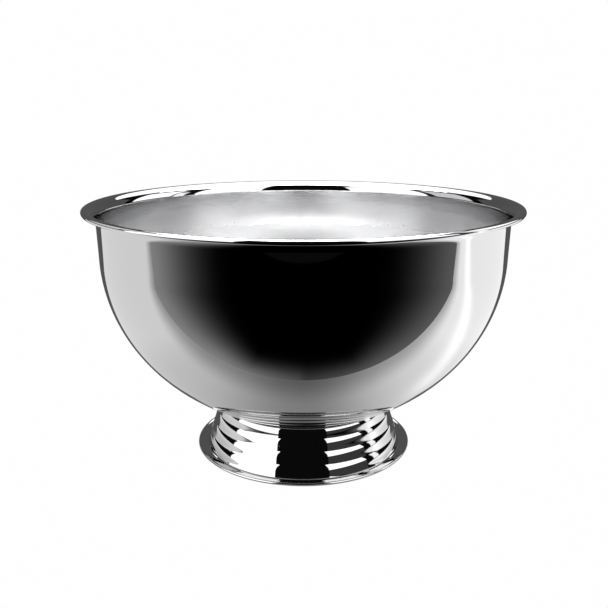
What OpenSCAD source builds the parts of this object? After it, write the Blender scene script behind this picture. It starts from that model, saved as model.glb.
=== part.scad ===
// Footed punch bowl in polished stainless steel. A spun bowl with a flared rim rolled round a wire
// stands on a spun foot with four rings. A stud under the bowl draws the foot up against a thin gasket.
// The bowl's axis is Z, and the foot's hem stands on z = 0.

/* [Bowl] */
// Outer diameter of the rolled rim
rim_d = 380; // [374:1:390]
// Height of the rim above the table
total_h = 224; // [215:1:235]
// Outer diameter of the bowl where the curve meets the straight wall
wall_d = 355; // [350:1:357]
// How far the straight wall leans out by the time it reaches the flare
wall_lean = 0.9; // [0.3:0.1:1.2]
// Depth of the curved belly below the straight wall
belly_h = 156; // [152:1:160]
// Height of the bowl's lowest point above the table
bowl_lift = 28; // [27.5:0.5:29]
// Thickness of the bowl's sheet
bowl_t = 1.0; // [0.8:0.1:1.2]
// Diameter of the wire in the rim
rim_wire_d = 2.2; // [1.8:0.1:2.6]

/* [Foot] */
// Outer diameter of the foot's hem
foot_d = 198; // [196:1:204]
// Outer diameter of the lowest ring
body_d = 180; // [178:1:182]
// Height of one ring
ring_pitch = 10.5; // [10.2:0.1:10.7]
// How far each ring stands out from its chord at its fullest
ring_bulge = 0.4; // [0.2:0.1:0.6]
// Depth of the crease under each ring
ring_crease = 0.4; // [0.2:0.1:0.6]
// Thickness of the foot's sheet
foot_t = 0.9; // [0.7:0.1:1.0]

/* [Fixing] */
// Thickness of the gasket between the bowl and the foot
gasket_t = 0.8; // [0.6:0.1:1.0]
// Thickness of the disc welded under the bowl
stud_plate_t = 1.5; // [1.2:0.1:2.0]
// Thickness of the clamp plate
clamp_t = 1.5; // [1.2:0.1:1.8]
// Diameter of the stud's thread
stud_d = 8; // [7:0.5:8]

/* [Hidden] */

round_fn = 180;
wire_fn = 48;
rim_r = rim_d / 2;
wall_r = wall_d / 2;
foot_r = foot_d / 2;
body_r = body_d / 2;
stud_r = stud_d / 2;
rim_wire_r = rim_wire_d / 2;

// The belly is a quarter ellipse about this height, drawn in equal steps of its angle
belly_z = bowl_lift + belly_h;
belly_steps = 64;
step_angle = 90 / belly_steps;

// The rim's wire, and the flare that reaches it from the wall
wire_centre = [rim_r - bowl_t - rim_wire_r, total_h - bowl_t - rim_wire_r];
flare_start_r = wall_r + wall_lean;
flare_r = wire_centre[0] - flare_start_r;
flare_centre = [wire_centre[0], total_h - bowl_t - flare_r];
flare_steps = 16;
curl_angles = [85, -170];
curl_steps = 34;

// Radii under the bowl, each moved to the nearest step of the belly
seat_in_step = step_at(60);
gasket_in_step = step_at(64);
clamp_out_step = step_at(68);
seat_out_step = step_at(76);
stud_plate_step = step_at(26);

// The foot: four rings below a rounded shoulder, then a flange with a proud hem
ring_count = 4;
flare_power = 1.25;
shoulder_r = 1.2;
shoulder_turn = 112;
shoulder_angles = [104, 30];
shoulder_steps = 8;
ring_steps = 12;
crease_way = [-1, -0.75];
ring_base_z = 2.3;
flange_z = 2.0;
flange_fillet = 0.8;
hem_r = 1.35;
hem_land = 2;
hem_rise = 2.2;
hem_shape = 0.7;
hem_steps = 18;

// The fastening at the stud, from the bowl down
weld_depth = 0.2;
collar_r = 5.5;
collar_h = 1;
clamp_gap = 2.5;
clamp_flat_r = 22;
hole_play = 0.4;
washer_r = 12;
washer_t = 1.8;
spring_r = 7.4;
spring_t = 2.2;
spring_slit = 1.6;
nut_across = 13;
nut_h = 6.5;
nut_chamfer = 0.9;
thread_bite = 0.1;
stud_tail = 2.5;
stud_chamfer = 0.8;
clamp_top_z = bowl_lift - stud_plate_t - clamp_gap;
washer_z = clamp_top_z - clamp_t - washer_t;
spring_z = washer_z - spring_t;
nut_z = spring_z - nut_h;
stud_z = nut_z - stud_tail;
stud_top_z = bowl_lift - stud_plate_t + weld_depth;

// Unit vector from one point to another
function heading(a, b) = (b - a) / norm(b - a);
// The direction to the left of a heading
function left_of(v) = [-v[1], v[0]];
// Leftward vector at a point of a path, long enough to keep a sheet's two sides parallel
function side(path, i) =
    let (last = len(path) - 1)
    let (before = left_of(heading(path[max(i - 1, 0)], path[max(i, 1)])))
    let (after = left_of(heading(path[min(i, last - 1)], path[min(i + 1, last)])))
    (before + after) / (1 + before * after);
// A path moved to its left by a distance, and never across the axis
function beside(path, d) = [
    for (i = [0 : len(path) - 1])
        let (p = path[i] + d * side(path, i)) [max(p[0], 0), p[1]]
];
function reversed(path) = [for (i = [len(path) - 1 : -1 : 0]) path[i]];
// Points round a centre from one angle to another
function arc(centre, r, from, to, steps) = [
    for (i = [0 : steps])
        let (a = from + (to - from) * i / steps) centre + r * [cos(a), sin(a)]
];
// How far a bulge stands out at a share u of its chord, as a share of its fullest, which is at a third
function fullness(u) = u * pow(1 - u, 2) * 27 / 4;
// Points from just after a to b, on a shallow bulge to the left
function bulge(a, b, rise, steps) = [
    for (i = [1 : steps])
        let (u = i / steps) a + (b - a) * u + left_of(heading(a, b)) * rise * fullness(u)
];

// The belly's outer surface
function belly(i) = [wall_r * sin(i * step_angle), belly_z - belly_h * cos(i * step_angle)];
function belly_path(first, last) = [for (i = [first : last]) belly(i)];
function step_at(r) = round(asin(r / wall_r) / step_angle);
// The belly's underside between two steps, moved down by a depth
function under_bowl(first, last, depth) = beside(belly_path(first, last), -depth);

// Radius and height of the lower edge of ring k, counted from the top
function ring_edge_r(k) = neck_r + (body_r - neck_r) * pow(k / ring_count, flare_power);
function ring_edge(k) = [ring_edge_r(k), ring_base_z + ring_pitch * (ring_count - k)];
function ring_top(k) = ring_edge(k) + ring_crease * crease_way;
// The face of one ring, as round as every other whatever its height
function ring_face(a, b) = bulge(a, b, ring_bulge * pow(norm(b - a) / ring_pitch, 2), ring_steps);

seat_path = under_bowl(seat_in_step, seat_out_step, gasket_t);
seat_end = seat_path[len(seat_path) - 1];
shoulder_centre = seat_end - shoulder_r * [cos(shoulder_turn), sin(shoulder_turn)];
shoulder_path = arc(shoulder_centre, shoulder_r, shoulder_angles[0], shoulder_angles[1], shoulder_steps);
shoulder_end = shoulder_path[shoulder_steps];
neck_r = shoulder_end[0];

// Sheet of thickness t to the left of a path, spun round the axis
module spun_sheet(path, t) {
    rotate_extrude($fn = round_fn) polygon(concat(path, reversed(beside(path, t))));
}

// Flat ring of a height, standing on z
module ring_disc(outer_r, inner_r, z, h) {
    translate([0, 0, z]) difference() {
        cylinder(r = outer_r, h = h, $fn = round_fn);
        translate([0, 0, -1]) cylinder(r = inner_r, h = h + 2, $fn = round_fn);
    }
}

module bowl_shell() {
    flare_path = arc(flare_centre, flare_r, 180, 90, flare_steps);
    curl_path = arc(wire_centre, rim_wire_r, curl_angles[0], curl_angles[1], curl_steps);
    color("silver")
        spun_sheet(concat(belly_path(0, belly_steps), flare_path, curl_path), bowl_t);
}

module rim_wire() {
    color("gray") rotate_extrude($fn = round_fn)
        translate(wire_centre) circle(r = rim_wire_r, $fn = wire_fn);
}

module neck_gasket() {
    path = under_bowl(gasket_in_step, seat_out_step, gasket_t);
    color("dimgray") spun_sheet(path, gasket_t);
}

module foot_shell() {
    top_ring_path = ring_face(shoulder_end, ring_edge(1));
    lower_rings_path = [
        for (k = [2 : ring_count])
            each concat([ring_top(k - 1)], ring_face(ring_top(k - 1), ring_edge(k)))
    ];
    wall_path = concat(top_ring_path, lower_rings_path);
    hem_centre = [foot_r - hem_r, hem_r];
    flange_path = [
        [body_r + flange_fillet, flange_z],
        [hem_centre[0] - hem_rise, flange_z],
        [hem_centre[0] - hem_rise / 2, flange_z + (2 * hem_r - flange_z) * hem_shape]
    ];
    hem_path = arc(hem_centre, hem_r, 90, -90, hem_steps);
    land_path = [[hem_centre[0] - hem_land, 0]];
    color("silver")
        spun_sheet(concat(seat_path, shoulder_path, wall_path, flange_path, hem_path, land_path), -foot_t);
}

module stud_plate() {
    color("darkgray") spun_sheet(under_bowl(0, stud_plate_step, stud_plate_t), stud_plate_t);
}

module foot_stud() {
    profile = [
        [0, stud_z], [stud_r - stud_chamfer, stud_z], [stud_r, stud_z + stud_chamfer],
        [stud_r, stud_top_z - collar_h], [collar_r, stud_top_z - collar_h],
        [collar_r, stud_top_z], [0, stud_top_z]
    ];
    color("gainsboro") rotate_extrude($fn = round_fn) polygon(profile);
}

module clamp_plate() {
    contact_path = under_bowl(seat_in_step, clamp_out_step, gasket_t + foot_t);
    centre_path = [[stud_r + hole_play, clamp_top_z], [clamp_flat_r, clamp_top_z]];
    color("lightgray") spun_sheet(concat(centre_path, contact_path), -clamp_t);
}

module flat_washer() {
    color("gainsboro") ring_disc(washer_r, stud_r + hole_play, washer_z, washer_t);
}

module spring_washer() {
    color("gray") difference() {
        ring_disc(spring_r, stud_r + hole_play, spring_z, spring_t);
        rotate([0, 0, 30]) translate([0, -spring_slit / 2, spring_z - 1])
            cube([spring_r + 1, spring_slit, spring_t + 2]);
    }
}

module foot_nut() {
    corner_r = nut_across / 2 / cos(30);
    lens = [
        [0, 0], [corner_r - nut_chamfer, 0], [corner_r + 1, nut_chamfer],
        [corner_r + 1, nut_h - nut_chamfer], [corner_r - nut_chamfer, nut_h], [0, nut_h]
    ];
    color("gainsboro") translate([0, 0, nut_z]) difference() {
        intersection() {
            cylinder(r = corner_r, h = nut_h, $fn = 6);
            rotate_extrude($fn = round_fn) polygon(lens);
        }
        translate([0, 0, -1]) cylinder(r = stud_r - thread_bite, h = nut_h + 2, $fn = round_fn);
    }
}

bowl_shell();
rim_wire();
neck_gasket();
foot_shell();
stud_plate();
foot_stud();
clamp_plate();
flat_washer();
spring_washer();
foot_nut();
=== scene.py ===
import logging
import math
from dataclasses import dataclass
from enum import Enum
from typing import Callable, Sequence

import bpy
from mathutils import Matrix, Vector


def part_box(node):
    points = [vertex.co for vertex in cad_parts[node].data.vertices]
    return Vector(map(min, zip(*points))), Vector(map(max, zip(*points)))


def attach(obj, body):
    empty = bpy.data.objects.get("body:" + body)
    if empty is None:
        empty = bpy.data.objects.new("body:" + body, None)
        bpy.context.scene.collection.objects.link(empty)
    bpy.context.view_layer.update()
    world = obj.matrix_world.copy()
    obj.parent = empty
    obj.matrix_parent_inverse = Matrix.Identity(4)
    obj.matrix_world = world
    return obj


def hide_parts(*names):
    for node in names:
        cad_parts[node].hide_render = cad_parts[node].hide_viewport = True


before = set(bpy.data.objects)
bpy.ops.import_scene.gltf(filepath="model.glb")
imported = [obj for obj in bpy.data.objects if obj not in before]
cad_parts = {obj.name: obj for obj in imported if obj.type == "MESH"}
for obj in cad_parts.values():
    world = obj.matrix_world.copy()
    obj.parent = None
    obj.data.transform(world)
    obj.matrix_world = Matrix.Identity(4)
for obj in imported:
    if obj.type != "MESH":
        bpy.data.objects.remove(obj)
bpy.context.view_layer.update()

LOG = logging.getLogger("punch_bowl")
BODY = "root"
FULL_TURN = 2 * math.pi
MERGE = 2e-6
SCRATCH_STRETCH = 0.035
SCRATCH_LEVELS = (0.74, 0.79)
BULGE_SCALE = 27 / 4
HEX_TURN = 30
SEED_SIZE = 0.001

Point = tuple[float, float]
Levels = tuple[float, float]
Path = list[Point]
Triple = tuple[float, float, float]
Socket = bpy.types.NodeSocket
Value = Socket | float


class Polish(Enum):
    """How far a steel surface has been finished, as its roughness."""

    MIRROR = 0.018
    BRIGHT = 0.16
    SATIN = 0.27
    DULL = 0.38


# ---------------------------------------------------------------- outlines


def arc(centre: Point, radius: float, start: float, end: float, steps: int) -> Path:
    """Points round a centre.

    Args:
        centre: radius from the axis and height of the arc's centre.
        radius: the arc's radius.
        start: first angle in degrees, from the outward direction.
        end: last angle in degrees.
        steps: how many steps the arc takes.

    Returns:
        steps + 1 points.
    """
    angles = [math.radians(start + (end - start) * i / steps) for i in range(steps + 1)]
    return [(centre[0] + radius * math.cos(a), centre[1] + radius * math.sin(a)) for a in angles]


def straight(start: Point, end: Point, steps: int) -> Path:
    """Points between start and end, in equal steps, without the two ends."""
    run = (end[0] - start[0], end[1] - start[1])
    return [(start[0] + run[0] * i / steps, start[1] + run[1] * i / steps) for i in range(1, steps)]


def bulge(start: Point, end: Point, rise: float, steps: int) -> Path:
    """Points from just after start to end, on a shallow curve to the left.

    The curve is fullest a third of the way along, where BULGE_SCALE makes it stand out by its whole rise.

    Args:
        start: where the curve sets off.
        end: where it arrives.
        rise: how far the curve stands out from the chord at its fullest.
        steps: how many steps it takes.

    Returns:
        steps points, the last of which is end.
    """
    run = (end[0] - start[0], end[1] - start[1])
    length = math.hypot(*run)
    left = (-run[1] / length, run[0] / length)
    points = []
    for i in range(1, steps + 1):
        u = i / steps
        out = rise * BULGE_SCALE * u * (1 - u) ** 2
        points.append((start[0] + run[0] * u + left[0] * out, start[1] + run[1] * u + left[1] * out))
    return points


def rounded(corners: Sequence[Point], radius: float, steps: int = 4) -> Path:
    """A closed outline with every corner rounded.

    Args:
        corners: the outline's sharp corners in order.
        radius: how far from its corner each round starts.
        steps: how many steps each round takes.

    Returns:
        The rounded outline, without repeating its first point.
    """
    path = []
    for i, corner in enumerate(corners):
        here = Vector(corner)
        before = Vector(corners[i - 1])
        after = Vector(corners[(i + 1) % len(corners)])
        start = here + (before - here).normalized() * radius
        end = here + (after - here).normalized() * radius
        for k in range(steps + 1):
            u = k / steps
            p = start * (1 - u) ** 2 + here * 2 * u * (1 - u) + end * u**2
            path.append((p.x, p.y))
    return path


# ---------------------------------------------------------------- modelling


def deselect_all() -> None:
    """Leaves no object selected."""
    bpy.ops.object.select_all(action="DESELECT")


def select_only(*pieces: bpy.types.Object) -> None:
    """Selects some pieces and nothing else, and makes the last one active.

    Args:
        *pieces: the objects to select.
    """
    deselect_all()
    for piece in pieces:
        piece.select_set(True)
    bpy.context.view_layer.objects.active = pieces[-1]


def apply_modifier(piece: bpy.types.Object, kind: str, **settings: object) -> None:
    """Adds a modifier to a piece and applies it.

    Args:
        piece: the object to change.
        kind: the modifier's type, such as "SOLIDIFY".
        **settings: values for the modifier's own properties.
    """
    modifier = piece.modifiers.new(kind.title(), kind)
    for name, value in settings.items():
        setattr(modifier, name, value)
    bpy.context.view_layer.objects.active = piece
    bpy.ops.object.modifier_apply(modifier=modifier.name)


def draw_outline(name: str, path: Path, closed: bool) -> bpy.types.Object:
    """Draws an outline in the XZ plane, point by point.

    Args:
        name: the piece's name.
        path: radius and height of each point.
        closed: whether the outline joins up with its start.

    Returns:
        A piece of edges only.
    """
    deselect_all()
    first = path[0]
    bpy.ops.mesh.primitive_plane_add(size=SEED_SIZE, location=(first[0], 0, first[1]))
    piece = bpy.context.object
    piece.name = piece.data.name = name
    bpy.ops.object.transform_apply(location=True, rotation=False, scale=False)
    bpy.ops.object.mode_set(mode="EDIT")
    bpy.ops.mesh.select_mode(type="VERT")
    bpy.ops.mesh.select_all(action="SELECT")
    bpy.ops.mesh.merge(type="CENTER")
    stops = path + [first] if closed else path
    for here, there in zip(stops, stops[1:]):
        step = (there[0] - here[0], 0, there[1] - here[1])
        bpy.ops.mesh.extrude_region_move(TRANSFORM_OT_translate={"value": step})
    bpy.ops.mesh.select_all(action="SELECT")
    bpy.ops.mesh.remove_doubles(threshold=MERGE)
    bpy.ops.object.mode_set(mode="OBJECT")
    return piece


def spin_outline(
    name: str, path: Path, closed: bool, steps: int, turn: float = FULL_TURN,
) -> bpy.types.Object:
    """Draws an outline and spins it round the axis, as on a lathe.

    Args:
        name: the piece's name.
        path: radius and height of each point.
        closed: whether the outline joins up with its start.
        steps: how many steps the turn takes.
        turn: how far it is spun, in radians.

    Returns:
        The spun piece, with its doubles merged and its faces pointing outwards.
    """
    piece = draw_outline(name, path, closed)
    bpy.ops.object.mode_set(mode="EDIT")
    bpy.ops.mesh.select_all(action="SELECT")
    bpy.ops.mesh.spin(steps=steps, angle=turn, center=(0, 0, 0), axis=(0, 0, 1))
    bpy.ops.mesh.select_all(action="SELECT")
    bpy.ops.mesh.remove_doubles(threshold=MERGE)
    if turn < FULL_TURN:
        bpy.ops.mesh.select_all(action="DESELECT")
        bpy.ops.mesh.select_non_manifold(extend=False)
        bpy.ops.mesh.fill()
    bpy.ops.mesh.select_all(action="SELECT")
    bpy.ops.mesh.normals_make_consistent(inside=False)
    bpy.ops.object.mode_set(mode="OBJECT")
    return piece


def trim(piece: bpy.types.Object, height: float, keep_above: bool) -> None:
    """Cuts a piece level at a height and closes the cut.

    Args:
        piece: the object to cut.
        height: where the cut is made.
        keep_above: whether the upper part is the one that stays.
    """
    select_only(piece)
    bpy.ops.object.mode_set(mode="EDIT")
    bpy.ops.mesh.select_all(action="SELECT")
    bpy.ops.mesh.bisect(
        plane_co=(0, 0, height), plane_no=(0, 0, 1), use_fill=True,
        clear_inner=keep_above, clear_outer=not keep_above,
    )
    bpy.ops.mesh.select_all(action="SELECT")
    bpy.ops.mesh.normals_make_consistent(inside=False)
    bpy.ops.object.mode_set(mode="OBJECT")


def join_pieces(piece: bpy.types.Object, *others: bpy.types.Object) -> None:
    """Makes several meshes one object, under the first one's name."""
    select_only(*others, piece)
    bpy.ops.object.join()


def carve(piece: bpy.types.Object, tool: bpy.types.Object, operation: str) -> None:
    """Cuts a piece with a closed tool, which is used up.

    Args:
        piece: the object to cut.
        tool: the closed mesh to cut it with.
        operation: "DIFFERENCE" or "INTERSECT".
    """
    apply_modifier(piece, "BOOLEAN", operation=operation, object=tool, solver="EXACT")
    bpy.data.objects.remove(tool)


def dress_node(node: str, material: bpy.types.Material) -> None:
    """Gives a CAD node's own object a finish.

    Args:
        node: the CAD node.
        material: what it is made of.
    """
    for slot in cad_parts[node].material_slots:
        slot.material = material
    LOG.info("%s: dressed", node)


def thicken(piece: bpy.types.Object, thickness: float, faces_up: bool) -> None:
    """Gives an open sheet its thickness, on the side away from its drawn outline.

    Args:
        piece: the open sheet, spun from an outline of one of its sides.
        thickness: the sheet's thickness.
        faces_up: whether the drawn side looks upwards on the whole, or downwards.
    """
    lean = sum(face.normal.z * face.area for face in piece.data.polygons)
    if (lean > 0) != faces_up:
        bpy.ops.object.mode_set(mode="EDIT")
        bpy.ops.mesh.select_all(action="SELECT")
        bpy.ops.mesh.flip_normals()
        bpy.ops.object.mode_set(mode="OBJECT")
    apply_modifier(piece, "SOLIDIFY", thickness=thickness, offset=-1, use_even_offset=True)


def smooth(piece: bpy.types.Object, angle: float = 40) -> None:
    """Shades a piece smooth, keeping edges sharper than an angle in degrees."""
    select_only(piece)
    bpy.ops.object.shade_smooth_by_angle(angle=math.radians(angle))


def finish_piece(piece: bpy.types.Object, material: bpy.types.Material, slot: str, *nodes: str) -> None:
    """Dresses a piece, parents it to the body's empty and hides the CAD nodes that it stands for.

    Args:
        piece: the finished mesh object.
        material: what it is made of.
        slot: the record's material slot; not used.
        *nodes: the CAD nodes that it stands for.
    """
    piece.data.materials.clear()
    piece.data.materials.append(material)
    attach(piece, BODY)
    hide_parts(*nodes)
    LOG.info("%s: %d faces, stands for %s", piece.name, len(piece.data.polygons), ", ".join(nodes))


# ---------------------------------------------------------------- finishes


class Bench:
    """A node tree being wired up."""

    def __init__(self, tree: bpy.types.NodeTree) -> None:
        """Starts with an empty tree."""
        self.tree = tree
        tree.nodes.clear()

    def add(self, kind: str, **settings: object) -> bpy.types.Node:
        """Adds a node.

        Args:
            kind: the node's type name.
            **settings: properties of the node, or values for its inputs by name.

        Returns:
            The new node.
        """
        node = self.tree.nodes.new(kind)
        for name, value in settings.items():
            if hasattr(node, name):
                setattr(node, name, value)
            else:
                node.inputs[name.replace("_", " ").title()].default_value = value
        return node

    def join(self, source: Socket, target: Socket) -> None:
        """Links an output to an input."""
        self.tree.links.new(source, target)

    def feed(self, target: Socket, value: Value) -> None:
        """Links a socket to an input, or sets the input to a number.

        Args:
            target: the input.
            value: the socket or number.
        """
        if isinstance(value, Socket):
            self.join(value, target)
        else:
            target.default_value = value

    def math(self, operation: str, *values: Value) -> Socket:
        """Works out a number from one, two or three others.

        Args:
            operation: the sum to do, such as "MULTIPLY".
            *values: sockets or numbers.

        Returns:
            The result's socket.
        """
        node = self.add("ShaderNodeMath", operation=operation)
        for target, value in zip(node.inputs, values):
            self.feed(target, value)
        return node.outputs[0]

    def remap(self, value: Socket, low: float, high: float, to_low: float, to_high: float,
              soft: bool = True) -> Socket:
        """Carries a range of values over to another range, held at its ends.

        Args:
            value: the socket to read.
            low: input that gives to_low.
            high: input that gives to_high.
            to_low: output at low.
            to_high: output at high.
            soft: whether the change eases in and out.

        Returns:
            The result's socket.
        """
        node = self.add("ShaderNodeMapRange", interpolation_type="SMOOTHSTEP" if soft else "LINEAR")
        self.join(value, node.inputs["Value"])
        for name, number in (("From Min", low), ("From Max", high), ("To Min", to_low), ("To Max", to_high)):
            node.inputs[name].default_value = number
        return node.outputs["Result"]

    def noise(self, vector: Socket, scale: float, detail: float = 2) -> Socket:
        """Soft random values.

        Args:
            vector: where they are read.
            scale: how fine they are, in cycles per metre.
            detail: how many finer layers they have.

        Returns:
            The values' socket.
        """
        node = self.add("ShaderNodeTexNoise", scale=scale, detail=detail)
        self.join(vector, node.inputs["Vector"])
        return node.outputs["Fac"]

    def place(self) -> tuple[Socket, Socket, Socket, Socket]:
        """Where a point is on the piece.

        Returns:
            Its position, its distance from the axis, its height, and a vector of that distance
            and height, which is the same all the way round the axis.
        """
        position = self.add("ShaderNodeTexCoord").outputs["Object"]
        parts = self.add("ShaderNodeSeparateXYZ")
        self.join(position, parts.inputs[0])
        flat = self.add("ShaderNodeCombineXYZ")
        self.join(parts.outputs["X"], flat.inputs["X"])
        self.join(parts.outputs["Y"], flat.inputs["Y"])
        length = self.add("ShaderNodeVectorMath", operation="LENGTH")
        self.join(flat.outputs[0], length.inputs[0])
        radius = length.outputs["Value"]
        rings = self.add("ShaderNodeCombineXYZ")
        self.join(radius, rings.inputs["X"])
        self.join(parts.outputs["Z"], rings.inputs["Y"])
        return position, radius, parts.outputs["Z"], rings.outputs[0]

    def stretched(self, position: Socket, turn: Triple,
                  scale: Triple) -> Socket:
        """Turns and stretches a position.

        Args:
            position: the socket to read.
            turn: angles about each axis, in degrees.
            scale: factor along each axis.

        Returns:
            The new position's socket.
        """
        node = self.add("ShaderNodeMapping")
        node.inputs["Rotation"].default_value = [math.radians(a) for a in turn]
        node.inputs["Scale"].default_value = scale
        self.join(position, node.inputs["Vector"])
        return node.outputs[0]

    def bump(self, height: Socket, depth: float,
             under: Socket | None = None) -> Socket:
        """Relief of a depth in metres.

        Args:
            height: relief from 0 to 1.
            depth: how deep a full step is.
            under: the normal that this relief is laid on.

        Returns:
            The new normal.
        """
        node = self.add("ShaderNodeBump")
        node.inputs["Strength"].default_value = 1
        node.inputs["Distance"].default_value = depth
        self.join(height, node.inputs["Height"])
        if under is not None:
            self.join(under, node.inputs["Normal"])
        return node.outputs[0]

    def hairlines(self, position: Socket, turn: Triple,
                  density: float) -> Socket:
        """Thin stray scratches along one direction, 1 on a scratch and 0 off it."""
        lines = self.noise(self.stretched(position, turn, (1, SCRATCH_STRETCH, 1)), density, 0)
        return self.remap(lines, *SCRATCH_LEVELS, 0, 1)


def start_material(name: str) -> tuple[bpy.types.Material, Bench]:
    """Makes a material to wire up.

    Args:
        name: the material's name.

    Returns:
        The material and its empty node tree.
    """
    material = bpy.data.materials.new(name)
    material.use_nodes = True
    return material, Bench(material.node_tree)


def start_surface(name: str) -> tuple[bpy.types.Material, Bench, bpy.types.Node]:
    """Makes a material that shows a surface shader.

    Args:
        name: the material's name.

    Returns:
        The material, its node tree and the shader.
    """
    material, bench = start_material(name)
    surface = bench.add("ShaderNodeBsdfPrincipled")
    output = bench.add("ShaderNodeOutputMaterial")
    bench.join(surface.outputs[0], output.inputs["Surface"])
    return material, bench, surface


def mix_tints(bench: Bench, share: Socket, tint: Triple, gain: float, target: Socket) -> None:
    """Feeds a colour to an input: a tint, and by a share the same tint times a gain.

    Args:
        bench: the node tree.
        share: how much of the second colour shows.
        tint: the first colour.
        gain: the second colour over the first.
        target: the colour input.
    """
    colour = bench.add("ShaderNodeMix", data_type="RGBA")
    bench.join(share, colour.inputs[0])
    colour.inputs[6].default_value = (*tint, 1)
    colour.inputs[7].default_value = (*[channel * gain for channel in tint], 1)
    bench.join(colour.outputs[2], target)


@dataclass(frozen=True)
class Lining:
    """The bowl's satin inside: its finish, and its place within an outline along the middle of the sheet."""

    wall_radius: float
    wall_lean: float
    belly_depth: float
    belly_height: float
    top: float
    roughness: float = 0.32
    rim_roughness: float = 0.05
    fade: float = 0.055
    groove_scale: float = 420
    groove_depth: float = 4e-6
    fan_scale: float = 9
    fan_share: float = 0.05
    edge_blur: float = 0.001
    top_blur: float = 0.0005

    def polish(self, bench: Bench, position: Socket, height: Socket) -> Socket:
        """The satin's roughness, which is finer towards the rim and varies in soft strokes round the axis.

        Args:
            bench: the node tree.
            position: where on the bowl.
            height: height above the table.

        Returns:
            The roughness socket.
        """
        around = bench.add("ShaderNodeVectorMath", operation="NORMALIZE")
        bench.join(bench.stretched(position, (0, 0, 0), (1, 1, 0)), around.inputs[0])
        strokes = bench.noise(around.outputs["Vector"], self.fan_scale, 3)
        base = bench.remap(height, self.top - self.fade, self.top, self.roughness, self.rim_roughness)
        return bench.math("MULTIPLY_ADD", bench.math("SUBTRACT", strokes, 0.5), self.fan_share, base)

    def mask(self, bench: Bench, radius: Socket, height: Socket) -> Socket:
        """1 on the inside and 0 elsewhere.

        Args:
            bench: the node tree.
            radius: distance from the axis.
            height: height above the table.

        Returns:
            The mask's socket.
        """
        lean = bench.remap(height, self.belly_height, self.top, 0, self.wall_lean, False)
        across = bench.math("DIVIDE", bench.math("SUBTRACT", radius, lean), self.wall_radius)
        below = bench.math("MAXIMUM", bench.math("SUBTRACT", self.belly_height, height), 0)
        down = bench.math("DIVIDE", below, self.belly_depth)
        reach = bench.math("ADD", bench.math("MULTIPLY", across, across), bench.math("MULTIPLY", down, down))
        inside = bench.remap(reach, 1 - self.edge_blur, 1 + self.edge_blur, 1, 0)
        below_top = bench.remap(height, self.top - self.top_blur, self.top + self.top_blur, 1, 0)
        return bench.math("MULTIPLY", inside, below_top)


@dataclass(frozen=True)
class SpunSteel:
    """Mirror-polished sheet steel off the lathe: spin lines, stray scratches, smudges and scuffs low down."""

    name: str
    tint: Triple = (0.70, 0.70, 0.705)
    polish: Polish = Polish.MIRROR
    spin_scale: float = 1400
    spin_depth: float = 1.2e-7
    spin_haze: float = 0.012
    wave_scale: float = 26
    wave_depth: float = 1.0e-5
    smudge_scale: float = 17
    smudge_levels: Levels = (0.52, 0.74)
    smudge: float = 0.035
    wipe_stretch: Triple = (3, 60, 9)
    scratch_ways: tuple[tuple[Triple, float], ...] = (((12, 35, 20), 420), ((70, -25, 110), 360))
    scratch_haze: float = 0.035
    scuff_scale: float = 900
    scuff_levels: Levels = (0.45, 0.70)
    scuff_haze: float = 0.16
    scuff_top: float = 0.004
    scuff_bottom: float = 0.0
    dull_gain: float = 0.95
    lining: Lining | None = None

    def build(self) -> bpy.types.Material:
        """Wires up the material.

        Returns:
            The new material.
        """
        material, bench, surface = start_surface(self.name)
        surface.inputs["Metallic"].default_value = 1
        position, radius, height, rings = bench.place()

        spin_lines = bench.noise(rings, self.spin_scale, 3)
        waves = bench.noise(rings, self.wave_scale, 1)
        hairlines = [bench.hairlines(position, turn, density) for turn, density in self.scratch_ways]
        scratches = bench.math("MAXIMUM", *hairlines)
        smudges = bench.remap(bench.noise(position, self.smudge_scale, 5), *self.smudge_levels, 0, 1)
        wipes = bench.noise(bench.stretched(position, (0, 0, 30), self.wipe_stretch), 3, 3)
        scuff_zone = bench.remap(height, self.scuff_bottom, self.scuff_top, 1, 0)
        scuff_marks = bench.remap(bench.noise(position, self.scuff_scale, 4), *self.scuff_levels, 0, 1)
        scuffs = bench.math("MULTIPLY", scuff_zone, scuff_marks)

        haze = bench.math("MULTIPLY", smudges, bench.math("MULTIPLY", wipes, self.smudge))
        rough = bench.math("ADD", haze, self.polish.value)
        rough = bench.math("ADD", rough, bench.math("MULTIPLY", spin_lines, self.spin_haze))
        rough = bench.math("ADD", rough, bench.math("MULTIPLY", scratches, self.scratch_haze))
        rough = bench.math("ADD", rough, bench.math("MULTIPLY", scuffs, self.scuff_haze))
        if self.lining:
            satin = self.lining.mask(bench, radius, height)
            rough = bench.math("MULTIPLY_ADD", satin, self.lining.polish(bench, position, height), rough)
        bench.join(rough, surface.inputs["Roughness"])

        dull = bench.math("ADD", bench.math("MULTIPLY", smudges, 0.5), scuffs)
        mix_tints(bench, dull, self.tint, self.dull_gain, surface.inputs["Base Color"])

        relief = bench.bump(waves, self.wave_depth)
        relief = bench.bump(spin_lines, self.spin_depth, relief)
        if self.lining:
            grooves = bench.math("MULTIPLY", bench.noise(rings, self.lining.groove_scale, 3), satin)
            relief = bench.bump(grooves, self.lining.groove_depth, relief)
        bench.join(relief, surface.inputs["Normal"])
        return material


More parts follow.
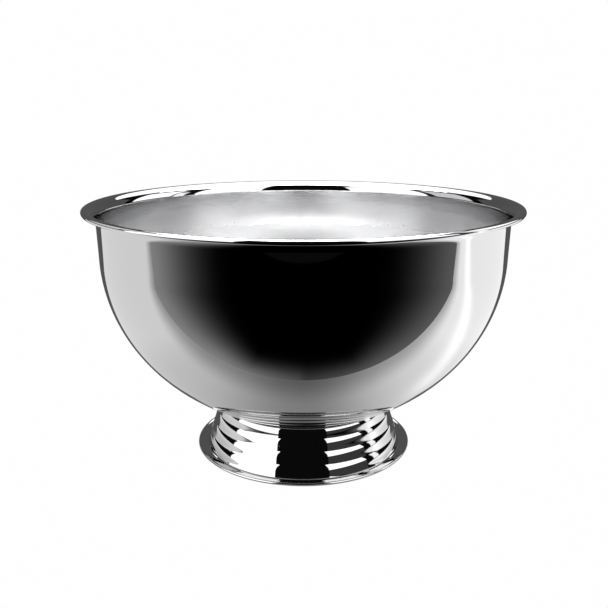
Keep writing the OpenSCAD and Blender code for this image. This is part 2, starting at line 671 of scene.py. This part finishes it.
@dataclass(frozen=True)
class PlainSteel:
    """Turned, drawn or pressed steel that is not polished out: tool marks, dull patches and a fine grain."""

    name: str
    tint: Triple
    polish: Polish
    mark_scale: float = 2600
    mark_depth: float = 4e-6
    mark_haze: float = 0.10
    patch_scale: float = 90
    patch_levels: Levels = (0.38, 0.72)
    patch_haze: float = 0.06
    patch_gain: float = 0.90
    grain_scale: float = 5200

    def build(self) -> bpy.types.Material:
        """Wires up the material.

        Returns:
            The new material.
        """
        material, bench, surface = start_surface(self.name)
        surface.inputs["Metallic"].default_value = 1
        position, _radius, _height, rings = bench.place()

        marks = bench.noise(rings, self.mark_scale, 2)
        patches = bench.remap(bench.noise(position, self.patch_scale, 4), *self.patch_levels, 0, 1)
        grain = bench.noise(position, self.grain_scale, 2)
        rough = bench.math("ADD", bench.math("MULTIPLY", patches, self.patch_haze), self.polish.value)
        rough = bench.math("ADD", rough, bench.math("MULTIPLY", marks, self.mark_haze))
        bench.join(rough, surface.inputs["Roughness"])

        mix_tints(bench, patches, self.tint, self.patch_gain, surface.inputs["Base Color"])

        relief = bench.bump(marks, self.mark_depth)
        relief = bench.bump(grain, self.mark_depth / 3, relief)
        bench.join(relief, surface.inputs["Normal"])
        return material


@dataclass(frozen=True)
class SealRubber:
    """Thin dark sheet rubber with a fine grain and a dusty bloom."""

    name: str
    tint: Triple = (0.022, 0.022, 0.024)
    specular: float = 0.35
    bloom_scale: float = 340
    bloom_gain: float = 2.2
    bloom_levels: Levels = (0.30, 0.70)
    roughness: Levels = (0.52, 0.78)
    grain_scale: float = 3800
    grain_depth: float = 2e-5

    def build(self) -> bpy.types.Material:
        """Wires up the material.

        Returns:
            The new material.
        """
        material, bench, surface = start_surface(self.name)
        surface.inputs["Specular IOR Level"].default_value = self.specular
        position, _radius, _height, _rings = bench.place()
        bloom = bench.noise(position, self.bloom_scale, 5)
        grain = bench.noise(position, self.grain_scale, 3)
        rough = bench.remap(bloom, *self.bloom_levels, *self.roughness)
        bench.join(rough, surface.inputs["Roughness"])
        mix_tints(bench, bloom, self.tint, self.bloom_gain, surface.inputs["Base Color"])
        bench.join(bench.bump(grain, self.grain_depth), surface.inputs["Normal"])
        return material


# ---------------------------------------------------------------- the bowl


@dataclass
class Bowl:
    """The spun bowl, from the middle of its floor out to its rolled rim."""

    rim_radius: float
    height: float
    wall_radius: float = 0.1775
    wall_lean: float = 0.0009
    belly_depth: float = 0.156
    lift: float = 0.028
    sheet: float = 0.001
    wire_radius: float = 0.0011
    curl_from: float = 80
    curl_to: float = -165
    belly_steps: int = 64
    wall_steps: int = 6
    flare_steps: int = 22
    curl_steps: int = 34
    turn_steps: int = 360

    @property
    def belly_height(self) -> float:
        """Height at which the belly meets the straight wall."""
        return self.lift + self.belly_depth

    def belly(self, i: float) -> Point:
        """The belly's outer surface at step i, which may be a fraction."""
        angle = math.pi / 2 * i / self.belly_steps
        return self.wall_radius * math.sin(angle), self.belly_height - self.belly_depth * math.cos(angle)

    def step_at(self, radius: float) -> int:
        """The whole step of the belly nearest to a radius."""
        return round(math.asin(radius / self.wall_radius) / (math.pi / 2) * self.belly_steps)

    def under(self, i: float, depth: float) -> Point:
        """A point below the belly's outer surface.

        Args:
            i: the belly's step, which may be a fraction.
            depth: how far below, square to the surface.

        Returns:
            The point's radius and height.
        """
        angle = math.pi / 2 * i / self.belly_steps
        out = math.sin(angle) / self.wall_radius
        down = -math.cos(angle) / self.belly_depth
        normal = Vector((out, down)).normalized()
        radius, height = self.belly(i)
        return radius + normal.x * depth, height + normal.y * depth

    def outline(self) -> Path:
        """The side of the sheet that faces the table, the foot and the rim's wire.

        Returns:
            Points from the axis outwards, up the wall, over the flare and round the wire.
        """
        wire = (self.rim_radius - self.sheet - self.wire_radius, self.height - self.sheet - self.wire_radius)
        flare = wire[0] - self.wall_radius - self.wall_lean
        flare_centre = (wire[0], self.height - self.sheet - flare)
        belly = [self.belly(i) for i in range(self.belly_steps + 1)]
        foot_of_wall = belly[-1]
        head_of_wall = (self.wall_radius + self.wall_lean, flare_centre[1])
        wall = straight(foot_of_wall, head_of_wall, self.wall_steps)
        over = arc(flare_centre, flare, 180, 90, self.flare_steps)
        curl = arc(wire, self.wire_radius, self.curl_from, self.curl_to, self.curl_steps)
        return belly + wall + over + curl

    def lining(self) -> Lining:
        """Where the bowl's inside is.

        Returns:
            The satin lining's place and finish.
        """
        half = self.sheet / 2
        flare = self.rim_radius - self.sheet - self.wire_radius - self.wall_radius - self.wall_lean
        return Lining(
            wall_radius=self.wall_radius - half,
            wall_lean=self.wall_lean,
            belly_depth=self.belly_depth - half,
            belly_height=self.belly_height,
            top=self.height - self.sheet - flare,
        )

    def build(self, steel: bpy.types.Material) -> bpy.types.Object:
        """Models the bowl and dresses it.

        Args:
            steel: the polished sheet.

        Returns:
            The finished piece.
        """
        piece = spin_outline("bowl", self.outline(), False, self.turn_steps)
        thicken(piece, self.sheet, faces_up=False)
        smooth(piece, 60)
        finish_piece(piece, steel, "bowl_steel", "bowl_shell")
        return piece


# ---------------------------------------------------------------- the foot


@dataclass
class Foot:
    """The ringed pedestal foot, its gasket, and the seat where it meets the bowl."""

    bowl: Bowl
    hem_radius_out: float
    body_radius: float = 0.090
    sheet: float = 0.0009
    gasket: float = 0.0008
    ring_count: int = 4
    ring_pitch: float = 0.0105
    ring_bulge: float = 0.0004
    ring_steps: int = 12
    crease: float = 0.0004
    crease_slope: float = 0.75
    flare_power: float = 1.25
    seat_in: float = 0.060
    seat_out: float = 0.076
    gasket_in: float = 0.064
    gasket_steps: int = 8
    gasket_skin: float = 0.04
    gasket_edge: float = 0.12
    shoulder: float = 0.0012
    shoulder_turn: float = 112
    shoulder_from: float = 104
    shoulder_to: float = 30
    shoulder_steps: int = 8
    ring_base: float = 0.0023
    flange: float = 0.0020
    fillet: float = 0.0008
    hem: float = 0.00135
    hem_land: float = 0.002
    hem_rise: float = 0.0022
    hem_shape: float = 0.7
    hem_steps: int = 20
    turn_steps: int = 360

    def ring_edge(self, k: int, neck: float) -> Point:
        """The lower edge of a ring.

        Args:
            k: the ring, counted from the top.
            neck: the foot's radius at its neck.

        Returns:
            The edge's radius and height.
        """
        share = (k / self.ring_count) ** self.flare_power
        height = self.ring_base + self.ring_pitch * (self.ring_count - k)
        return neck + (self.body_radius - neck) * share, height

    def ring(self, top: Point, low: Point) -> Path:
        """One ring's face, as round as every other whatever its height."""
        share = math.dist(top, low) / self.ring_pitch
        return bulge(top, low, self.ring_bulge * share**2, self.ring_steps)

    def outline(self) -> Path:
        """The foot's visible side.

        Returns:
            Points from the seat's inner edge, over the shoulder, down the rings, out along the
            flange and round the hem to its land on the table.
        """
        seat_in = self.bowl.step_at(self.seat_in)
        seat_out = self.bowl.step_at(self.seat_out)
        seat = [self.bowl.under(i, self.gasket) for i in range(seat_in, seat_out + 1)]
        turn = math.radians(self.shoulder_turn)
        centre = (seat[-1][0] - self.shoulder * math.cos(turn), seat[-1][1] - self.shoulder * math.sin(turn))
        shoulder = arc(centre, self.shoulder, self.shoulder_from, self.shoulder_to, self.shoulder_steps)
        neck = shoulder[-1][0]
        rings = self.ring(shoulder[-1], self.ring_edge(1, neck))
        for k in range(2, self.ring_count + 1):
            above = self.ring_edge(k - 1, neck)
            top = (above[0] - self.crease, above[1] - self.crease_slope * self.crease)
            rings += [top] + self.ring(top, self.ring_edge(k, neck))
        hem_centre = (self.hem_radius_out - self.hem, self.hem)
        rise = (2 * self.hem - self.flange) * self.hem_shape
        flange = [
            (self.body_radius + self.fillet, self.flange),
            (hem_centre[0] - self.hem_rise, self.flange),
            (hem_centre[0] - self.hem_rise / 2, self.flange + rise),
        ]
        hem = arc(hem_centre, self.hem, 90, -90, self.hem_steps)
        return seat + shoulder + rings + flange + hem + [(hem_centre[0] - self.hem_land, 0)]

    def build(self, steel: bpy.types.Material) -> bpy.types.Object:
        """Models the foot's sheet and dresses it.

        Args:
            steel: the polished sheet.

        Returns:
            The finished piece.
        """
        piece = spin_outline("foot", self.outline(), False, self.turn_steps)
        thicken(piece, self.sheet, faces_up=True)
        smooth(piece, 32)
        finish_piece(piece, steel, "foot_steel", "foot_shell")
        return piece

    def build_gasket(self, rubber: bpy.types.Material) -> bpy.types.Object:
        """Models the gasket between the bowl and the foot, with rounded edges.

        Args:
            rubber: what it is cut from.

        Returns:
            The finished piece.
        """
        inner = self.bowl.step_at(self.gasket_in)
        outer = self.bowl.step_at(self.seat_out)
        steps = [inner + (outer - inner) * i / self.gasket_steps for i in range(self.gasket_steps + 1)]
        skin = self.gasket * self.gasket_skin
        upper = [self.bowl.under(i, skin) for i in steps]
        lower = [self.bowl.under(i, self.gasket - skin) for i in reversed(steps)]
        edge_out = self.bowl.under(outer + self.gasket_edge, self.gasket / 2)
        edge_in = self.bowl.under(inner - self.gasket_edge, self.gasket / 2)
        piece = spin_outline("neck_seal", upper + [edge_out] + lower + [edge_in], True, 192)
        smooth(piece, 50)
        finish_piece(piece, rubber, "gasket_rubber", "neck_gasket")
        return piece


# ---------------------------------------------------------------- the fixing inside the foot


@dataclass
class Fixing:
    """The stud plate, stud, clamp plate, washers and nut that draw the foot up to the bowl."""

    bowl: Bowl
    foot: Foot
    plate: float = 0.0015
    plate_reach: float = 0.026
    plate_skin: float = 0.02
    clamp: float = 0.0015
    clamp_flat: float = 0.022
    clamp_reach: float = 0.068
    stud: float = 0.004
    play: float = 0.0004
    pitch: float = 0.00125
    tooth: float = 0.00055
    thread_start: float = 0.0004
    collar: float = 0.001
    tip: float = 0.0011
    tip_bevel: float = 0.0006
    overlap: float = 0.0002
    round_off: float = 0.00025
    split: float = 12
    split_at: float = 30
    nut_bevel: float = 0.0009
    nut_edge: float = 0.00012
    tool_margin: float = 0.001

    def build_plate(self, steel: bpy.types.Material) -> bpy.types.Object:
        """Models the disc that is welded under the bowl.

        Args:
            steel: pressed sheet steel.

        Returns:
            The finished piece.
        """
        last = self.bowl.step_at(self.plate_reach)
        skin = self.plate * self.plate_skin
        path = [self.bowl.under(i, skin) for i in range(last + 1)]
        piece = spin_outline("boss_plate", path, False, 144)
        thicken(piece, self.plate - 2 * skin, faces_up=True)
        apply_modifier(piece, "BEVEL", width=self.round_off, segments=3, angle_limit=math.radians(40))
        smooth(piece)
        finish_piece(piece, steel, "plate_steel", "stud_plate")
        return piece

    def build_clamp(self, steel: bpy.types.Material) -> bpy.types.Object:
        """Models the dished plate that presses the foot's seat against the bowl.

        Args:
            steel: pressed sheet steel.

        Returns:
            The finished piece.
        """
        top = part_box("clamp_plate")[0].z + self.clamp
        bore = self.stud + self.play
        first = self.bowl.step_at(self.foot.seat_in)
        last = self.bowl.step_at(self.clamp_reach)
        depth = self.foot.gasket + self.foot.sheet
        rim = [self.bowl.under(i, depth) for i in range(first, last + 1)]
        path = [(bore, top), (self.clamp_flat, top)] + rim
        piece = spin_outline("clamp_disc", path, False, 180)
        thicken(piece, self.clamp, faces_up=True)
        apply_modifier(piece, "BEVEL", width=self.round_off, segments=3, angle_limit=math.radians(60))
        smooth(piece, 35)
        finish_piece(piece, steel, "plate_steel", "clamp_plate")
        return piece

    def build_stud(self, steel: bpy.types.Material) -> bpy.types.Object:
        """Models the stud: a collar, a shank with a real helical thread, and a chamfered tip.

        Args:
            steel: bright drawn steel.

        Returns:
            The finished piece.
        """
        low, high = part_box("foot_stud")
        collar_low = high.z - self.collar
        core = self.stud - self.tooth
        collar_outline = [(0, collar_low), (high.x, collar_low), (high.x, high.z), (0, high.z)]
        head = spin_outline("stud_head", collar_outline, False, 64)
        tip_top = low.z + self.tip + self.overlap
        bevel_top = low.z + self.tip_bevel
        tip_outline = [
            (0, low.z), (core - self.tip_bevel, low.z), (core, bevel_top), (core, tip_top), (0, tip_top),
        ]
        tip = spin_outline("stud_tip", tip_outline, False, 64)
        flat = self.pitch / 8
        start = low.z + self.thread_start - self.pitch
        tooth = [
            (core, start), (core, start + flat), (self.stud, start + self.pitch / 2 - flat / 2),
            (self.stud, start + self.pitch / 2 + flat / 2), (core, start + self.pitch),
        ]
        turns = math.ceil((collar_low - start) / self.pitch) + 1
        thread = draw_outline("stud", tooth, False)
        apply_modifier(
            thread, "SCREW", angle=FULL_TURN, screw_offset=self.pitch, iterations=turns, steps=48,
            render_steps=48, use_merge_vertices=True, merge_threshold=MERGE,
        )
        trim(thread, bevel_top, keep_above=True)
        trim(thread, collar_low + self.overlap, keep_above=False)
        join_pieces(thread, head, tip)
        smooth(thread, 30)
        finish_piece(thread, steel, "fastener_steel", "foot_stud")
        return thread

    def washer_outline(self, low: Vector, high: Vector) -> Path:
        """A washer's section.

        Args:
            low: the least corner of its box.
            high: the greatest corner of its box.

        Returns:
            The outline, with rounded corners.
        """
        bore = self.stud + self.play
        corners = [(bore, low.z), (high.y, low.z), (high.y, high.z), (bore, high.z)]
        return rounded(corners, self.round_off)

    def build_washers(self, bright: bpy.types.Material, dull: bpy.types.Material) -> None:
        """Models the flat washer and the split spring washer.

        Args:
            bright: turned steel, for the flat washer.
            dull: spring steel.
        """
        outline = self.washer_outline(*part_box("flat_washer"))
        washer = spin_outline("plain_washer", outline, True, 120)
        smooth(washer)
        finish_piece(washer, bright, "fastener_steel", "flat_washer")

        outline = self.washer_outline(*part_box("spring_washer"))
        lock = spin_outline("lock_washer", outline, True, 96, math.radians(360 - self.split))
        lock.rotation_euler.z = math.radians(self.split_at + self.split / 2)
        bpy.ops.object.transform_apply(location=False, rotation=True, scale=False)
        smooth(lock)
        finish_piece(lock, dull, "spring_steel", "spring_washer")

    def build_nut(self, steel: bpy.types.Material) -> bpy.types.Object:
        """Models the hexagon nut, chamfered at both faces, with a plain bore.

        Args:
            steel: bright turned steel.

        Returns:
            The finished piece.
        """
        low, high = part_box("foot_nut")
        corner = high.x
        height = high.z - low.z
        deselect_all()
        middle = (0, 0, (low.z + high.z) / 2)
        bpy.ops.mesh.primitive_cylinder_add(vertices=6, radius=corner, depth=height, location=middle)
        nut = bpy.context.object
        nut.name = nut.data.name = "hex_nut"
        nut.rotation_euler.z = math.radians(HEX_TURN)
        bpy.ops.object.transform_apply(location=True, rotation=True, scale=False)
        wide = corner + self.tool_margin
        face = corner - self.nut_bevel
        lens_outline = [
            (0, low.z), (face, low.z), (wide, low.z + self.nut_bevel),
            (wide, high.z - self.nut_bevel), (face, high.z), (0, high.z),
        ]
        lens = spin_outline("lens", lens_outline, False, 96)
        carve(nut, lens, "INTERSECT")
        bore = self.stud - self.tooth
        bottom = low.z - self.tool_margin
        top = high.z + self.tool_margin
        bore_outline = [(0, bottom), (bore, bottom), (bore, top), (0, top)]
        carve(nut, spin_outline("bore", bore_outline, False, 48), "DIFFERENCE")
        apply_modifier(nut, "BEVEL", width=self.nut_edge, segments=2, angle_limit=math.radians(25))
        smooth(nut, 25)
        finish_piece(nut, steel, "fastener_steel", "foot_nut")
        return nut


# ---------------------------------------------------------------- the studio


def light_up(plane: bpy.types.Object, level: Callable[[Bench, Socket, Socket], Socket]) -> None:
    """Makes a plane glow by a pattern, for the steel and not for the camera.

    Args:
        plane: the plane, whose name its material takes.
        level: wires up the pattern, from a node tree and the plane's own X and Y.
    """
    material, bench = start_material(plane.name)
    parts = bench.add("ShaderNodeSeparateXYZ")
    bench.join(bench.add("ShaderNodeTexCoord").outputs["Object"], parts.inputs[0])
    lamp = bench.add("ShaderNodeEmission")
    bench.join(level(bench, parts.outputs["X"], parts.outputs["Y"]), lamp.inputs["Strength"])
    bench.join(lamp.outputs[0], bench.add("ShaderNodeOutputMaterial").inputs["Surface"])
    plane.data.materials.append(material)
    plane.visible_camera = False
    plane.visible_shadow = False


@dataclass(frozen=True)
class Panel:
    """A soft box: a plane that glows, seen in the steel and not by the camera."""

    name: str
    centre: Triple
    size: tuple[float, float]
    turn: Triple
    glow: float
    fade: float = 0.05
    far_fade: float | None = None

    def build(self) -> bpy.types.Object:
        """Adds the glowing plane.

        Returns:
            The panel.
        """
        deselect_all()
        turn = [math.radians(a) for a in self.turn]
        bpy.ops.mesh.primitive_plane_add(size=1, location=self.centre, rotation=turn)
        panel = bpy.context.object
        panel.name = self.name
        panel.scale = (*self.size, 1)
        bpy.ops.object.transform_apply(location=False, rotation=False, scale=True)
        light_up(panel, self.level)
        return panel

    def level(self, bench: Bench, x: Socket, y: Socket) -> Socket:
        """The panel's glow, which fades at its edges, and over far_fade at its far end along Y.

        Args:
            bench: the node tree.
            x: where across the panel.
            y: where along it.

        Returns:
            The level there.
        """
        edges = [
            bench.remap(bench.math("ABSOLUTE", along), width / 2 - self.fade, width / 2, 1, 0)
            for along, width in zip((x, y), self.size)
        ]
        level = bench.math("MULTIPLY", *edges)
        if self.far_fade:
            half = self.size[1] / 2
            level = bench.math("MULTIPLY", level, bench.remap(y, half - self.far_fade, half, 1, 0))
        return bench.math("MULTIPLY", level, self.glow)


@dataclass(frozen=True)
class Shelf:
    """Tones on one side of the table, painted light that differs from side to side: of its top away from the
    bowl, and of the apron past its front edge.
    """

    far: float
    apron: float
    apron_gain: float
    apron_reach: float


@dataclass(frozen=True)
class Table:
    """A made-up table that only the steel sees, whose glow is painted light and shade: the bowl's painted
    shadow in the middle, painted side light brighter on the right, a painted glint, painted shade towards its
    front edge, a dark wedge and a dim apron.
    """

    left: Shelf = Shelf(far=0.50, apron=0.06, apron_gain=1.0, apron_reach=0.15)
    right: Shelf = Shelf(far=0.66, apron=0.035, apron_gain=0.40, apron_reach=0.14)
    half_size: float = 4.0
    drop: float = 0.0005
    steel_tint: float = 0.72
    shade: float = 0.20
    shade_width: float = 0.10
    clear_gain: float = 1.22
    glint_gain: float = 0.35
    glint_y: float = -0.03
    glint_width: float = 0.035
    edge_y: float = -0.187
    edge_blur: float = 0.003
    ramp_end: float = -0.115
    ramp_start: float = 0.5
    fall_near: float = 0.025
    fall_slope: float = 0.32
    fall_from: float = 0.09
    fall_power: float = 1.5
    apron_tilt: float = 4
    wedge_start: float = 0.115
    wedge_slope: float = 0.93
    wedge_tone: float = 0.07
    wedge_blur: float = 0.008
    wedge_near: float = 0.03
    middle_blur: float = 0.03
    clear_from: float = 0.16
    clear_to: float = 0.32
    glint_from: float = 0.10
    glint_to: float = 0.17
    apron_size: float = 1.0
    apron_blur: float = 0.01

    def build(self) -> None:
        """Adds the table top, and the apron that falls away in front of it."""
        depth = self.half_size - self.edge_y
        self.plane("table_top", (0, self.edge_y + depth / 2), depth, 0, self.top_level)
        apron_middle = (0, self.edge_y - self.apron_size / 2)
        self.plane("table_apron", apron_middle, self.apron_size, self.apron_tilt, self.apron_level)

    def plane(self, name: str, middle: Point, depth: float, tilt: float, level: Callable) -> None:
        """Adds a plane that glows by a pattern.

        Args:
            name: the plane's name.
            middle: X and Y of its middle.
            depth: its size along Y.
            tilt: how steeply it falls towards the front, in degrees, from the table's edge.
            level: the method that wires up the pattern from X and Y.
        """
        deselect_all()
        bpy.ops.mesh.primitive_plane_add(size=1, location=(*middle, -self.drop))
        plane = bpy.context.object
        plane.name = name
        plane.scale = (2 * self.half_size, depth, 1)
        bpy.ops.object.transform_apply(location=True, rotation=False, scale=True)
        if tilt:
            for vertex in plane.data.vertices:
                vertex.co.z += (vertex.co.y - self.edge_y) * math.tan(math.radians(tilt))
        light_up(plane, lambda bench, x, y: bench.math("DIVIDE", level(bench, x, y), self.steel_tint))

    def top_level(self, bench: Bench, x: Socket, y: Socket) -> Socket:
        """The table top's pattern of painted light and shade.

        Args:
            bench: the node tree.
            x: where across the table.
            y: where along it.

        Returns:
            The level there.
        """
        across = bench.math("ABSOLUTE", x)
        # Painted side light: the table's glow is brighter on the right than on the left.
        far = bench.remap(x, -self.middle_blur, self.middle_blur, self.left.far, self.right.far)
        # Painted light: the glow rises further out from the bowl, past its painted shadow.
        clear = bench.remap(across, self.clear_from, self.clear_to, 1, self.clear_gain)
        far = bench.math("MULTIPLY", far, clear)
        # Painted shadow of the bowl: the glow dips to the shade level in the middle of the table.
        near = bench.math("DIVIDE", x, self.shade_width)
        bowl_shadow = bench.math("EXPONENT", bench.math("MULTIPLY", bench.math("MULTIPLY", near, near), -1))
        level = self.blend(bench, far, self.shade, bowl_shadow)
        # Painted shade: the glow falls off towards the table's front edge.
        ramp = bench.remap(y, self.edge_y, self.ramp_end, self.ramp_start, 1)
        level = bench.math("MULTIPLY", level, ramp)
        off = bench.math("DIVIDE", bench.math("SUBTRACT", y, self.glint_y), self.glint_width)
        glint = bench.math("EXPONENT", bench.math("MULTIPLY", bench.math("MULTIPLY", off, off), -1))
        glint_side = bench.remap(x, self.glint_from, self.glint_to, 0, self.glint_gain)
        glint = bench.math("MULTIPLY", glint, glint_side)
        level = bench.math("MULTIPLY", level, bench.math("ADD", glint, 1))
        reach = bench.math("SUBTRACT", across, bench.math("MULTIPLY", y, self.wedge_slope))
        wedge_in = self.wedge_start - self.wedge_blur
        wedge_out = self.wedge_start + self.wedge_blur
        wedge = bench.remap(reach, wedge_in, wedge_out, 1, 0)
        inside = bench.math("MULTIPLY", bench.remap(y, 0.0, self.wedge_near, 0, 1), wedge)
        return self.blend(bench, level, self.wedge_tone, inside)

    def apron_level(self, bench: Bench, x: Socket, y: Socket) -> Socket:
        """The apron's pattern, which fades to black.

        Args:
            bench: the node tree.
            x: where across the apron.
            y: where along it.

        Returns:
            The level there.
        """
        across = bench.math("ABSOLUTE", x)
        sides = [
            bench.math(
                "MULTIPLY_ADD", bench.math("MINIMUM", across, shelf.apron_reach),
                shelf.apron_gain, shelf.apron,
            )
            for shelf in (self.left, self.right)
        ]
        start = self.blend(bench, sides[0], sides[1], bench.remap(x, -self.apron_blur, self.apron_blur, 0, 1))
        beyond = bench.math("MAXIMUM", bench.math("SUBTRACT", across, self.fall_from), 0)
        length = bench.math("MULTIPLY_ADD", beyond, self.fall_slope, self.fall_near)
        ahead = bench.math("DIVIDE", bench.math("SUBTRACT", self.edge_y, y), length)
        fall = bench.math("POWER", bench.math("MAXIMUM", ahead, 0), self.fall_power)
        return bench.math("MULTIPLY", start, bench.math("EXPONENT", bench.math("MULTIPLY", fall, -1)))

    @staticmethod
    def blend(bench: Bench, base: Socket, over: Value,
              share: Socket) -> Socket:
        """Lays one level over another by a share.

        Args:
            bench: the node tree.
            base: level where the share is 0.
            over: level where the share is 1.
            share: how much of the second shows.

        Returns:
            The mixed level.
        """
        mix = bench.add("ShaderNodeMix", data_type="FLOAT")
        bench.join(share, mix.inputs[0])
        bench.join(base, mix.inputs[2])
        bench.feed(mix.inputs[3], over)
        return mix.outputs[0]


@dataclass(frozen=True)
class Floor:
    """The plain white floor that the camera sees."""

    half_size: float = 30.0
    drop: float = 0.0002
    tone: float = 0.995
    gloom: float = 0.004

    def build(self) -> bpy.types.Object:
        """Adds the floor, and a white surround for the camera only.

        Returns:
            The floor's plane.
        """
        deselect_all()
        bpy.ops.mesh.primitive_plane_add(size=2 * self.half_size, location=(0, 0, -self.drop))
        floor = bpy.context.object
        floor.name = "floor"
        material, bench = start_material("floor")
        lamp = bench.add("ShaderNodeEmission")
        lamp.inputs["Strength"].default_value = self.tone
        bench.join(lamp.outputs[0], bench.add("ShaderNodeOutputMaterial").inputs["Surface"])
        floor.data.materials.append(material)
        for kind in ("diffuse", "glossy", "transmission", "volume_scatter", "shadow"):
            setattr(floor, f"visible_{kind}", False)

        world = bpy.data.worlds.new("surround")
        world.use_nodes = True
        bpy.context.scene.world = world
        bench = Bench(world.node_tree)
        sky = bench.add("ShaderNodeBackground")
        sky.inputs["Color"].default_value = (1, 1, 1, 1)
        rays = bench.add("ShaderNodeLightPath")
        glow = bench.remap(rays.outputs["Is Camera Ray"], 0, 1, self.gloom, self.tone, False)
        bench.join(glow, sky.inputs["Strength"])
        bench.join(sky.outputs[0], bench.add("ShaderNodeOutputWorld").inputs["Surface"])
        return floor


@dataclass(frozen=True)
class Studio:
    """Soft boxes and table for the steel to reflect, floor for the camera to see, and the camera."""

    camera_back: float = 0.68636
    camera_height: float = 0.31308
    camera_pitch: float = 75.162
    lens: float = 46.087
    sensor: float = 36
    shift: float = 0.00085
    nearest: float = 0.01

    def build_camera(self) -> None:
        """Adds the camera and makes it the scene's own."""
        data = bpy.data.cameras.new("camera")
        data.lens = self.lens
        data.sensor_width = self.sensor
        data.shift_x = self.shift
        data.clip_start = self.nearest
        camera = bpy.data.objects.new("camera", data)
        camera.location = (0, -self.camera_back, self.camera_height)
        camera.rotation_euler = (math.radians(self.camera_pitch), 0, 0)
        bpy.context.scene.collection.objects.link(camera)
        bpy.context.scene.camera = camera

    def build(self) -> None:
        """Sets the studio up round the bowl."""
        panels = (
            Panel("left_box", (-1.2, -1.0, 1.2), (2.5, 2.0), (0, 90, 0), 1.7),
            Panel("left_back", (-1.25, 0.55, 0.95), (1.1, 0.9), (0, 90, 0), 0.8),
            Panel("right_box", (1.18, -0.92, 1.98), (1.36, 3.4), (90, 0, 52), 1.7),
            Panel("right_base", (1.18, -0.92, 0.12), (1.36, 0.30), (90, 0, 52), 0.05),
            Panel("right_strip", (1.25, -0.01, 0.5), (1.0, 0.24), (0, 90, 0), 1.3),
            Panel("right_back", (1.25, 0.58, 0.95), (1.1, 0.94), (0, 90, 0), 1.6),
            Panel("top_box", (0, 0.64, 1.8), (2.3, 2.12), (0, 0, 0), 14.0, far_fade=0.9),
            Panel("top_tail", (0, 2.0, 1.79), (2.3, 1.8), (0, 0, 0), 1.7),
            Panel("back_wall", (0, 4.2, 1.4), (9.0, 2.9), (90, 0, 0), 0.10, 0.3),
        )
        for panel in panels:
            panel.build()
        Table().build()
        Floor().build()
        self.build_camera()
        bpy.context.scene.view_settings.view_transform = "Standard"
        LOG.info("studio: %d panels, table and floor", len(panels))


def main() -> None:
    """Builds the bowl, its foot, the fixing and the studio."""
    logging.basicConfig(level=logging.INFO, format="%(message)s")
    LOG.info("CAD nodes: %d", len(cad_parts))
    Studio().build()

    foot_sheet = SpunSteel("foot_polish", smudge=0.02).build()
    plate = PlainSteel("plate_steel", (0.50, 0.50, 0.51), Polish.SATIN).build()
    bright = PlainSteel("fastener_steel", (0.62, 0.62, 0.63), Polish.BRIGHT, 1800, 2e-6).build()
    dull = PlainSteel("spring_steel", (0.30, 0.30, 0.32), Polish.DULL).build()
    wire = PlainSteel("wire_steel", (0.55, 0.55, 0.56), Polish.SATIN).build()
    rubber = SealRubber("seal_rubber").build()

    low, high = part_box("bowl_shell")
    bowl = Bowl(rim_radius=min(high.x, high.y), height=high.z)
    bowl.build(SpunSteel("bowl_polish", lining=bowl.lining()).build())
    foot = Foot(bowl, hem_radius_out=min(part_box("foot_shell")[1].xy))
    foot.build(foot_sheet)
    foot.build_gasket(rubber)
    fixing = Fixing(bowl, foot)
    fixing.build_plate(plate)
    fixing.build_stud(bright)
    fixing.build_clamp(plate)
    fixing.build_washers(bright, dull)
    fixing.build_nut(bright)
    dress_node("rim_wire", wire)


if __name__ == "__main__":
    main()
